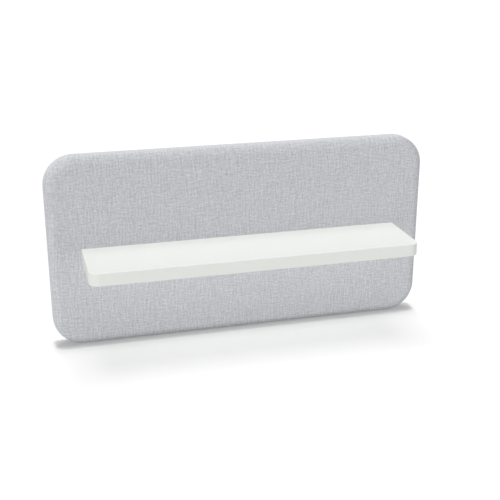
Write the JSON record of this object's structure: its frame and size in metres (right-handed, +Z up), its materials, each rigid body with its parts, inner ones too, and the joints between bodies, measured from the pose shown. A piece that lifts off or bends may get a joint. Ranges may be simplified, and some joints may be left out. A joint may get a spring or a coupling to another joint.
{
  "type": "acoustic wall panel with shelf",
  "caption": "Cloth-covered acoustic wall panel with rounded corners and a soft edge, carrying a white shelf on hidden rods and hung on the wall by hooked rails.",
  "frame": {"origin": "on the wall, in the middle of the wall rail's row of four screw holes", "axes": "+X along the panel, to the right seen from the front; +Y into the wall; +Z up"},
  "size_m": [0.8, 0.1949, 0.4],
  "materials": {
    "cloth": "light grey melange upholstery cloth in a slubbed plain weave",
    "lining": "dark grey non-woven lining",
    "pad": "white polyester wadding",
    "absorber": "pressed mineral fibre",
    "pine": "planed pine",
    "beech": "sawn beech",
    "shelf_board": "chipboard",
    "laminate": "matt white laminate",
    "edge_band": "matt white edge band",
    "aluminium": "mill-finish extrusion",
    "steel": "bare drawn steel",
    "zinc": "bright zinc plating",
    "brass": "turned brass",
    "rubber": "black rubber"
  },
  "bodies": {
    "wall_fixing": {"wall_rail": "aluminium"},
    "panel": {"panel_rail": "aluminium", "panel_rail_screws": "zinc", "wall_buffers": "rubber", "frame_top_rail": "pine", "frame_bottom_rail": "pine", "frame_left_stile": "pine", "frame_right_stile": "pine", "corner_block_top_left": "beech", "corner_block_top_right": "beech", "corner_block_bottom_left": "beech", "corner_block_bottom_right": "beech", "frame_cross_rail": "pine", "frame_dowels": "beech", "absorber_upper": "absorber", "absorber_lower": "absorber", "front_pad": "pad", "cloth_cover": "cloth", "back_lining": "lining", "shelf_support_plate": "steel", "shelf_plate_screws": "zinc", "shelf_support_rods": "steel", "shelf_core": "shelf_board", "shelf_top_laminate": "laminate", "shelf_bottom_laminate": "laminate", "shelf_edge_band": "edge_band", "shelf_lock_inserts": "brass", "shelf_lock_screws": "zinc"}
  },
  "joints": [
    {"name": "panel_lift", "type": "slide", "parent": "wall_fixing", "child": "panel", "axis": [0, 0, 1], "range_m": [0, 0.012]}
  ]
}
